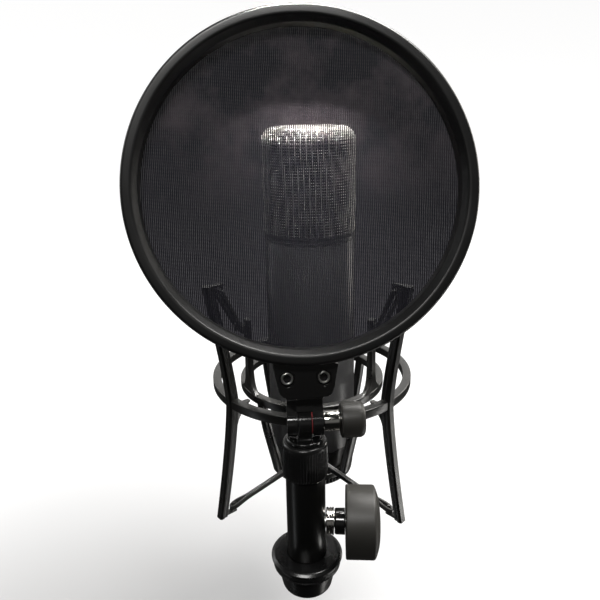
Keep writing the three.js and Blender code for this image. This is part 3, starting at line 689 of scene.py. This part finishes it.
# ---------------------------------------------------------------- outer frame of the mount
RING_TOP, RING_THICK, RING_IN, RING_OUT = 76.8, 5.0, 53.2, 57.9
RING_MID = RING_TOP - RING_THICK / 2
RING_R = (RING_IN + RING_OUT) / 2


def outer_frame():
    bottom = RING_TOP - RING_THICK
    prof = rounded([(RING_IN, bottom), (RING_OUT, bottom), (RING_OUT, RING_TOP), (RING_IN, RING_TOP)],
                   [0.5, 0.5, 0.45, 0.45], 3)
    ring = lathe("frame_ring", prof, 240, MIC)
    done(ring, MOULDED, "shock_frame", "outer_frame", slot="moulded_black")
    for side, angle in BLADES.items():
        at = MIC @ Matrix.Rotation(math.radians(angle), 4, "Z")
        blade(side, at)
        gusset(side, at)
        for where, d in (("low", 1), ("high", -1)):
            hook(where, side, at, RING_MID - d * (HALF - 0.4), d)
    frame_arm()


def blade(side, at):
    """Upright blade through the ring, leaning outwards towards both tips, with a stepped section."""
    rings = []
    steps, w = 48, 2.45
    for i in range(-steps, steps + 1):
        t = i / steps
        z = RING_MID + t * (HALF - 0.2)
        r = RING_R + FLARE * abs(t) ** 1.3
        half = 3.1 * (1 - 0.18 * abs(t))
        outer = [(1, 0.72), (0.62, 1), (0.1, 1), (-0.2, 0.8), (-0.85, 0.8), (-1, 0.55)]
        outline = [(r + half, -w * 0.72)] + [(r + half * a, w * b) for a, b in outer]
        outline += [(r + half * a, -w * b) for a, b in outer[:0:-1]]
        rings.append([(x, y, z) for x, y in outline])
    ob = loft("blade_" + side, rings, at, sharp=24)
    ease(ob, 0.18, 2, 20)
    done(ob, MOULDED, "shock_frame", slot="moulded_black")


def gusset(side, at):
    """Web under the ring on a blade's inner side, thick at its root."""
    rows = []
    for i in range(13):
        t = i / 12
        z = RING_MID - 2.2 - 11.6 * t
        inner = RING_R - 2.2 - 8.4 * (1 - t) ** 1.7
        w = 2.3 - 0.9 * t
        rows.append([(RING_R + 1, w, z), (inner, w * 0.75, z), (inner - 0.5, 0, z),
                     (inner, -w * 0.75, z), (RING_R + 1, -w, z)])
    ob = loft("gusset_" + side, rows, at, sharp=50)
    ease(ob, 0.25, 2, 40)
    done(ob, MOULDED, "shock_frame", slot="moulded_black")


def hook(where, side, at, z, d):
    """Shelf at a blade's tip with the peg that a band goes round; d is 1 upwards, -1 downwards."""
    tip = RING_R + FLARE
    shelf = box("hook_%s_%s" % (where, side), (tip - 9, -1.5, min(z, z + 1.5 * d)),
                (tip, 1.5, max(z, z + 1.5 * d)), at, 0.45)
    done(shelf, MOULDED, "shock_frame", slot="moulded_black")
    prof = rounded([(0, 0), (1.1, 0), (1.1, 4.6), (1.4, 5.0), (1.3, 5.8), (0, 6.0)],
                   [0, 0.2, 0.3, 0.4, 0.5, 0], 3, False)
    foot = at @ Matrix.Translation((tip - 8.0, 0, z)) @ Matrix.Scale(d, 4, (0, 0, 1))
    peg = lathe("peg_%s_%s" % (where, side), prof, 32, foot, closed=False)
    done(peg, MOULDED, "shock_frame", slot="moulded_black")


def frame_arm():
    """Arm from the clamp in the post up to the ring, behind the post."""
    z0 = CLAMP_Z
    side = [(16.5, z0 - 3.5), (22, z0 - 1.5), (28, z0 + 8), (34, 67.8), (34, 71.6), (25.5, 71.6),
            (21.5, z0 + 17), (18.5, z0 + 9), (16.5, z0 + 6)]
    side = rounded(side, [0.5, 4, 5, 2, 0, 0, 5, 4, 0.5], 6)
    arm = loft("arm_body", [[(x, y, z) for y, z in side] for x in (-4.5, 4.5)])
    ease(arm, 0.8, 3)
    done(arm, MOULDED, "shock_frame", "frame_arm", slot="moulded_black")
    tongue = arc_of(6, 70, 290, 20, (0, z0)) + [(17.6, z0 - 3.4), (17.6, z0 + 5)]
    ear = loft("arm_tongue", [[(x, y, z) for y, z in tongue] for x in (-2.5, 2.5)])
    hole = lathe("hole", [(0, -4), (3.2, -4), (3.2, 4), (0, 4)], 40,
                 Matrix.Translation((0, 0, z0)) @ TO_X, closed=False)
    carve(ear, hole)
    ease(ear, 0.3, 2)
    done(ear, MOULDED, "shock_frame", slot="moulded_black")


# ---------------------------------------------------------------- cradle
CRADLE_TOP = 74.0


def cradle():
    low = CRADLE_TOP - 4.6
    prof = rounded([(37.6, low), (41.9, low), (41.9, CRADLE_TOP), (37.6, CRADLE_TOP)], 0.5, 3)
    ring = lathe("cradle_hoop", prof, 200, MIC)
    done(ring, MOULDED, "cradle", "cradle_ring", slot="moulded_black")
    for side, angle in UPRIGHTS.items():
        upright(side, MIC @ Matrix.Rotation(math.radians(angle), 4, "Z"))
    for name, angle in (("front_right", -48), ("front_left", 228), ("rear_right", 41), ("rear_left", 139)):
        strut(name, MIC @ Matrix.Rotation(math.radians(angle), 4, "Z"))
    base = lathe("cradle_floor", rounded([(15.6, 16.2), (24.5, 16.2), (24.5, 19.8), (15.6, 19.8)], 0.5, 3),
                 144, MIC)
    done(base, MOULDED, "cradle", "cradle_base", slot="moulded_black")
    for side, angle in (("front", -90), ("rear", 90)):
        cradle_hook(side, MIC @ Matrix.Rotation(math.radians(angle), 4, "Z"))
    outside = [
        (15.4, 11.5), (21.4, 11.5), (22.6, 11.8), (23.4, 12.4), (23.9, 12.9), (24.0, 13.3), (24.0, 14.4),
        (24.0, 15.3), (23.7, 15.8), (23.2, 15.95),
    ]
    ob = ribbed_ring("retaining_nut", outside, 66, 0.6, 12.3, 15.9, MIC, 8, [(15.4, 15.95)])
    done(ob, SATIN, "retainer", "retaining_ring", slot="satin_black")


def upright(side, at):
    """Bar up from the cradle ring, wide at its root, with the peg for the upper band."""
    rows = []
    for i in range(40):
        t = i / 39
        z = CRADLE_TOP - 0.6 + t * (116.6 - CRADLE_TOP)
        w = 2.6 + 6.0 * math.exp(-(z - CRADLE_TOP) / 3.6)
        x1 = 41.5 - 0.25 * t
        x0 = 37.9 + 0.25 * t
        rows.append([(x0, -w * 0.8, z), (x0, w * 0.8, z), (x0 + 0.7, w, z), (x1 - 0.9, w, z),
                     (x1, w * 0.75, z), (x1, -w * 0.75, z), (x1 - 0.9, -w, z), (x0 + 0.7, -w, z)])
    ob = loft("upright_bar_" + side, rows, at, sharp=40)
    ease(ob, 0.2, 2, 35)
    done(ob, MOULDED, "cradle", "upright_" + side, slot="moulded_black")
    prof = rounded([(0, 40.5), (1.5, 40.5), (1.5, 45.9), (2.2, 46.2), (2.2, 47.3), (0, 47.6)],
                   [0, 0, 0.3, 0.3, 0.5, 0], 3, False)
    peg = lathe("upright_peg_" + side, prof, 32, at @ Matrix.Translation((0, 0, 112.6)) @ TO_X,
                closed=False)
    done(peg, MOULDED, "cradle", slot="moulded_black")


def strut(name, at):
    """Curved bar from the cradle ring down and in under the microphone's foot."""
    outer = [(41.7, 70.5), (40.4, 62), (38.0, 50), (35.2, 39), (32.7, 29), (30.9, 21.6), (27.6, 17.0),
             (23.6, 16.2)]
    inner = [(37.6, 70.5), (36.0, 60), (33.6, 50), (31.0, 40), (28.0, 30.6), (26.6, 24.4), (24.6, 20.4),
             (23.4, 19.8)]
    section = [(0, -0.8), (0, 0.8), (0.12, 1), (0.5, 1), (0.62, 0.8), (0.95, 0.8), (1, 0.55), (1, -0.55),
               (0.95, -0.8), (0.62, -0.8), (0.5, -1), (0.12, -1)]
    half, steps, spans = 2.8, 48, len(outer) - 1
    rows = []
    for i in range(steps + 1):
        t = i / steps * spans
        k = min(int(t), spans - 1)
        o = Vector(outer[k]).lerp(Vector(outer[k + 1]), t - k)
        n = Vector(inner[k]).lerp(Vector(inner[k + 1]), t - k)
        places = [(n.lerp(o, depth), across) for depth, across in section]
        rows.append([(q[0], across * half, q[1]) for q, across in places])
    ob = loft("strut_bar_" + name, rows, at, sharp=26)
    smooth_rows(ob)
    ease(ob, 0.18, 2, 30)
    done(ob, MOULDED, "cradle", "strut_" + name, slot="moulded_black")


def cradle_hook(side, at):
    """Bracket up from the cradle's floor, with the lip that a lower band pulls on."""
    out = [(22, 16.25), (29.7, 16.25), (29.7, 33.0), (33.6, 33.0), (35.1, 33.2), (35.1, 40), (33.7, 40),
           (33.6, 35.4), (29.7, 35.5), (29.7, 36.6), (26.7, 36.6), (26.7, 19.5), (22, 19.5)]
    out = rounded(out, [0, 2.5, 1.5, 0, 0.8, 0.6, 0.4, 0.4, 0.4, 0.5, 0.8, 1.5, 0], 4)
    ob = loft("cradle_hook_" + side, [[(x, y, z) for x, z in out] for y in (-2.6, 2.6)], at)
    ease(ob, 0.45, 2)
    done(ob, MOULDED, "cradle", slot="moulded_black")


def smooth_rows(ob):
    m = ob.modifiers.new("soft", "SMOOTH")
    m.factor, m.iterations = 0.35, 2
    bake(ob)
    ob.data.shade_smooth()
    ob.data.set_sharp_from_angle(angle=math.radians(28))


# ---------------------------------------------------------------- suspension bands
def elastic(name, points, wide):
    """Closed band with eased corners and a rounded rectangular section."""
    pts = []
    n = len(points)
    for i, p in enumerate(points):
        c, a, b = Vector(p), Vector(points[i - 1]), Vector(points[(i + 1) % n])
        d = min(1.6, (a - c).length * 0.4, (b - c).length * 0.4)
        s, e = c + (a - c).normalized() * d, c + (b - c).normalized() * d
        for k in range(7):
            t = k / 6
            pts.append(s * (1 - t) ** 2 + c * 2 * t * (1 - t) + e * t ** 2)
        steps = max(2, int((b - c).length / 3))
        e2 = b + (c - b).normalized() * d
        pts += [e.lerp(e2, k / steps) for k in range(1, steps)]
    w, h = wide / 2, 1.25
    section = rounded([(-w, -h), (w, -h), (w, h), (-w, h)], 0.5, 3)
    rings = []
    for i, p in enumerate(pts):
        along = (pts[(i + 1) % len(pts)] - pts[i - 1]).normalized()
        side = along.cross(Vector((0, 0, 1))).normalized()
        top = side.cross(along).normalized()
        rings.append([tuple(p + side * u + top * v) for u, v in section])
    ob = loft("band" + name[7:], rings, loop=True, sharp=60)
    ob.data.materials.append(RUBBER)
    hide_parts(name)
    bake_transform(ob)


def elastics():
    r = RING_R + FLARE - 5.4
    reach = HALF - 3.6
    low_z, high_z = RING_MID - reach, RING_MID + reach
    hook_z, peg_z = 36.9, 110.4

    def spot(angle, r, t, z):
        c, s = math.cos(math.radians(angle)), math.sin(math.radians(angle))
        return (r * c - t * s, MIC_Y + r * s + t * c, z)

    def strap(left, right):
        """Two strands lying together, opened into an eye round the peg at each end."""
        out, back = [], []
        for peg, side in ((left, -1), (right, 1)):
            c, h = Vector(peg), Vector((2.6 * side, MIC_Y - 31.6, hook_z))
            c += (h - c).normalized() * 2.6
            u = (h - c).normalized()
            v = u.cross(Vector((0, 0, 1))).normalized() * -side
            out.append([h + v * 0.75, c + u * 9 + v * 0.75, c + u * 1.5 + v * 2.1,
                        c - u * 2.3 + v * 1.3])
            back.append([c - u * 2.3 - v * 1.3, c + u * 1.5 - v * 2.1, c + u * 9 - v * 0.75,
                         h - v * 0.75])
        path = out[0][::-1] + out[1] + back[1] + back[0][::-1]
        return [tuple(p) for p in path]

    def low(side, t):
        return spot(BLADES[side], r, t, low_z)

    def high(side, t):
        return spot(BLADES[side], r, t, high_z)

    elastic("elastic_lower_front", strap(low("left", 0), low("right", 0)), 1.4)
    elastic("elastic_lower_rear", [
        low("rear", -3), low("rear", 3), spot(90, 31.6, 3.9, 37), spot(90, 31.6, -3.9, 37),
    ], 1.8)
    steps = {"right": (-4.4, 3, 5.8, -3.3), "left": (-3, 4.4, 3.3, -5.8), "rear": (-3, 3, 3.3, -3.3)}
    for side, (a, b, c, d) in steps.items():
        at = UPRIGHTS[side]
        elastic("elastic_upper_" + side, [
            high(side, a), high(side, b), spot(at, 43.8, c, peg_z), spot(at, 43.8, d, peg_z),
        ], 1.8)


# ---------------------------------------------------------------- microphone
def microphone():
    prof = [
        (9.6, 10.2), (14.3, 10.2), (15.0, 10.9), (15.0, 20.1), (20.9, 20.1), (21.7, 20.9), (24.4, 31.6),
        (25, 34.0), (23.2, 34.0), (23.2, 40), (12, 40), (12, 26), (6, 26), (6, 24), (9.6, 24),
    ]
    radii = [0.2, 0.3, 0.3, 0, 0.5, 1, 2, 0.15, 0, 0, 0, 0, 0, 0, 0]
    base = lathe("mic_foot", rounded(prof, radii, 4), 160, MIC)
    done(base, BODY, "cradle", "mic_base", slot="mic_body_metal")
    painted(MOULDED, "xlr_insert", "capsule_saddle")
    painted(GOLD, "xlr_pin_1", "xlr_pin_2", "xlr_pin_3", "diaphragm_front", "diaphragm_rear")
    painted(STEEL, "rail_left", "rail_right", "grille_hoop")
    painted(BOARD, "circuit_board")
    painted(BRASS, "capsule")
    lo, hi = mm_box("mic_body")
    prof = [
        (23.4, lo[2]), (24.75, lo[2]), (25, lo[2] + 0.3), (25, hi[2] - 0.4), (24.7, hi[2]),
        (23.4, hi[2]),
    ]
    body = lathe("mic_shell", prof, 192, MIC)
    done(body, BODY, "cradle", "mic_body", slot="mic_body_metal")
    prof = [
        (0, 150), (23, 150), (23, 157.2), (24.6, 157.2), (25, 157.6), (25, 158.6), (24.7, 159),
        (23.8, 159), (23.8, 163), (21.5, 163), (21.5, 160), (0, 160),
    ]
    neck = lathe("head_flange", prof, 160, MIC, closed=False)
    done(neck, BODY, "cradle", "head_base", slot="mic_body_metal")
    grille()


def grille():
    lo, hi = mm_box("grille")
    bottom, top = lo[2] + 1.5, hi[2] - 0.25
    head_wires(bottom, top)
    head_gauze(bottom, top)
    z = lo[2] + 0.1
    band = lathe("head_band", rounded([(24.3, z), (25.05, z), (25.05, z + 2.2), (24.3, z + 2.2)], 0.3, 3),
                 160, MIC)
    done(band, BODY, "cradle", slot="mic_body_metal")


HEAD_R, HEAD_EASE, WIRES_ROUND = 24.75, 7.0, 108


def head_wires(bottom, top):
    """Woven head: crossing wires over the sides, the eased shoulder and the flat top."""
    pitch = 2 * math.pi * HEAD_R / WIRES_ROUND
    heights = []
    z = bottom
    while z < top - HEAD_EASE:
        heights.append((HEAD_R, z))
        z += pitch
    heights += arc_of(HEAD_EASE, 0, 90, 8, (HEAD_R - HEAD_EASE, top - HEAD_EASE))[:-1]
    r = HEAD_R - HEAD_EASE
    while r > pitch * 1.2:
        heights.append((r, top))
        r -= pitch
    verts, faces, rows = [], [], []
    for r, z in heights:
        step = 1
        while (2 * math.pi * r / (WIRES_ROUND / step) < pitch * 0.62
               and WIRES_ROUND // step > 27):
            step *= 2
        rows.append((len(verts), WIRES_ROUND // step))
        for i in range(0, WIRES_ROUND, step):
            a = 2 * math.pi * i / WIRES_ROUND
            verts.append((r * math.cos(a), r * math.sin(a), z))
    for (a, na), (b, nb) in zip(rows, rows[1:]):
        if na == nb:
            faces += [(a + i, a + (i + 1) % na, b + (i + 1) % nb, b + i) for i in range(na)]
        else:
            faces += [(a + 2 * i, a + 2 * i + 1, a + (2 * i + 2) % na, b + (i + 1) % nb, b + i)
                      for i in range(nb)]
    last, count = rows[-1]
    faces.append(tuple(range(last, last + count)))
    wires = shape("grille_wires", verts, faces, MIC, 180)
    m = wires.modifiers.new("wires", "WIREFRAME")
    m.thickness, m.use_even_offset, m.use_replace = 0.62 * MM, False, True
    done(wires, WIRE, "cradle", "grille", slot="grille_mesh")


def head_gauze(bottom, top):
    """Thin skin of gauze just inside the wires."""
    def skin(inset, side_r):
        centre = (HEAD_R - HEAD_EASE, top - HEAD_EASE)
        shoulder = arc_of(HEAD_EASE - inset, 0, 90, 8, centre)[1:]
        return [(side_r, bottom - 1), (side_r, top - HEAD_EASE)] + shoulder + [(0, top - inset)]

    gauze = lathe("head_gauze", skin(0.65, 24.1)[::-1] + skin(0.8, 23.95), 120, MIC, closed=False)
    done(gauze, GAUZE, "cradle", slot="grille_mesh")


# ---------------------------------------------------------------- stage
FLOOR_Z = -70.0


def backdrop():
    """Pale floor that turns up into a wall far behind the object on every side."""
    far, high, bend = 1900.0, 2200.0, 700.0
    prof = [(0, FLOOR_Z)]
    prof += arc_of(bend, -90, 0, 16, (far - bend, FLOOR_Z + bend))
    prof += arc_of(bend, 0, 90, 16, (far - bend, high - bend))
    prof += [(0, high)]
    ob = lathe("backdrop", prof, 96, closed=False, sharp=60)
    ob.data.materials.append(backdrop_paint())
    ob.visible_glossy = ob.visible_diffuse = ob.visible_shadow = False


def backdrop_paint():
    """Pale paint that glows, with a painted shadow greyer low on the left, and painted shade where it
    shows through the filter's cloth.
    """
    m, nt, sh, place = new_material("backdrop_paint")
    tone = mix_of(nt, noise_of(nt, place, 5.0).outputs["Fac"], (0.188, 0.188, 0.190),
                  (0.200, 0.200, 0.202))
    # painted shade: behind the cloth the backdrop turns dark and glows far less, standing for the dark
    # room behind the filter
    passed = add_node(nt, "ShaderNodeLightPath").outputs["Transparent Depth"]
    clear = math_of(nt, "LESS_THAN", passed, 0.5)
    nt.links.new(mix_of(nt, clear, (0.02, 0.019, 0.024), tone), sh.inputs["Base Color"])
    sh.inputs["Roughness"].default_value = 0.9
    sh.inputs["Specular IOR Level"].default_value = 0.1
    sh.inputs["Emission Color"].default_value = (1, 1, 1, 1)
    # painted shadow: the glow is dimmed round a spot low on the left, where the object's shadow would fall
    from_painted_shadow = add_node(nt, "ShaderNodeVectorMath", operation="DISTANCE")
    nt.links.new(place, from_painted_shadow.inputs[0])
    from_painted_shadow.inputs[1].default_value = (-0.12, 0.0, -0.10)
    glow_with_painted_shadow = range_of(nt, from_painted_shadow.outputs["Value"], 0.05, 0.34, 0.30, 0.87, interpolation_type="SMOOTHSTEP")
    painted_shade_through_cloth = math_of(nt, "MULTIPLY_ADD", clear, 0.94, 0.06)
    nt.links.new(math_of(nt, "MULTIPLY", glow_with_painted_shadow, painted_shade_through_cloth), sh.inputs["Emission Strength"])
    return m


def studio_world():
    """White surround that is bright level with the object and behind it, dark overhead and in front."""
    world = bpy.data.worlds.new("studio")
    scene.world = world
    world.use_nodes = True
    nt = world.node_tree
    back = nt.nodes["Background"]
    parts = add_node(nt, "ShaderNodeSeparateXYZ")
    nt.links.new(add_node(nt, "ShaderNodeTexCoord").outputs["Generated"], parts.inputs[0])
    rise = range_of(nt, parts.outputs["Z"], -0.10, 0.20, 0.05, 1.1)
    fall = range_of(nt, parts.outputs["Z"], 0.46, 0.66, 1.0, 0.06)
    far = range_of(nt, parts.outputs["Y"], -0.5, 0.7, 0.10, 1.0)
    shaped = math_of(nt, "MULTIPLY", math_of(nt, "MULTIPLY", rise, far), fall)
    nt.links.new(shaped, back.inputs["Strength"])
    back.inputs["Color"].default_value = (1.0, 0.985, 0.96, 1)
    scene.view_settings.view_transform = "Standard"


def lamp(name, place, look, size, power, colour, spread=180):
    data = bpy.data.lights.new(name, "AREA")
    data.shape = "RECTANGLE"
    data.size, data.size_y = size
    data.energy, data.color = power, colour
    data.spread = math.radians(spread)
    ob = bpy.data.objects.new(name, data)
    ob.location = place
    ob.rotation_mode = "QUATERNION"
    ob.rotation_quaternion = (Vector(look) - Vector(place)).to_track_quat("-Z", "Y")
    ob.visible_camera = False
    scene.collection.objects.link(ob)
    return ob


def studio_light():
    lamp("overhead", (0.45, 0.35, 1.25), (0, 0.06, 0.0), (0.8, 0.6), 42, (1.0, 0.985, 0.96))
    lamp("right_strip", (0.75, 0.55, 0.35), (0, 0.06, 0.12), (0.25, 0.7), 4.2, (1.0, 0.96, 0.89))
    lamp("left_strip", (-0.8, 0.35, 0.4), (0, 0.06, 0.12), (0.2, 0.7), 1.0, (0.95, 0.98, 1.0))
    lamp("front_top", (-0.12, -0.75, 1.05), (0, 0.0, 0.10), (0.5, 0.16), 9.0, (1.0, 0.99, 0.97))
    lamp("left_low", (-0.75, -0.25, -0.55), (0, 0.0, 0.05), (0.07, 0.9), 0.35, (0.96, 0.98, 1.0))
    lamp("right_low", (0.80, 0.05, -0.58), (0, 0.0, 0.05), (0.11, 0.9), 2.6, (1.0, 0.985, 0.95))
    # a small lamp behind the filter lights the head and leaves the floor alone
    head_top = lamp("head_top", (0.0, 0.035, 0.55), (0, 0.055, 0.20), (0.04, 0.04), 0.15,
                    (1.0, 0.99, 0.97), 14)
    unlit = bpy.data.collections.new("not_under_head_top")
    unlit.objects.link(bpy.data.objects["backdrop"])
    unlit.collection_objects[0].light_linking.link_state = "EXCLUDE"
    head_top.light_linking.receiver_collection = unlit


stand_collar()
post()
lock_collar()
stem()
hinge_knob()
clamp_knob()
bracket()
pop_filter()
outer_frame()
cradle()
elastics()
microphone()
backdrop()
studio_world()
studio_light()
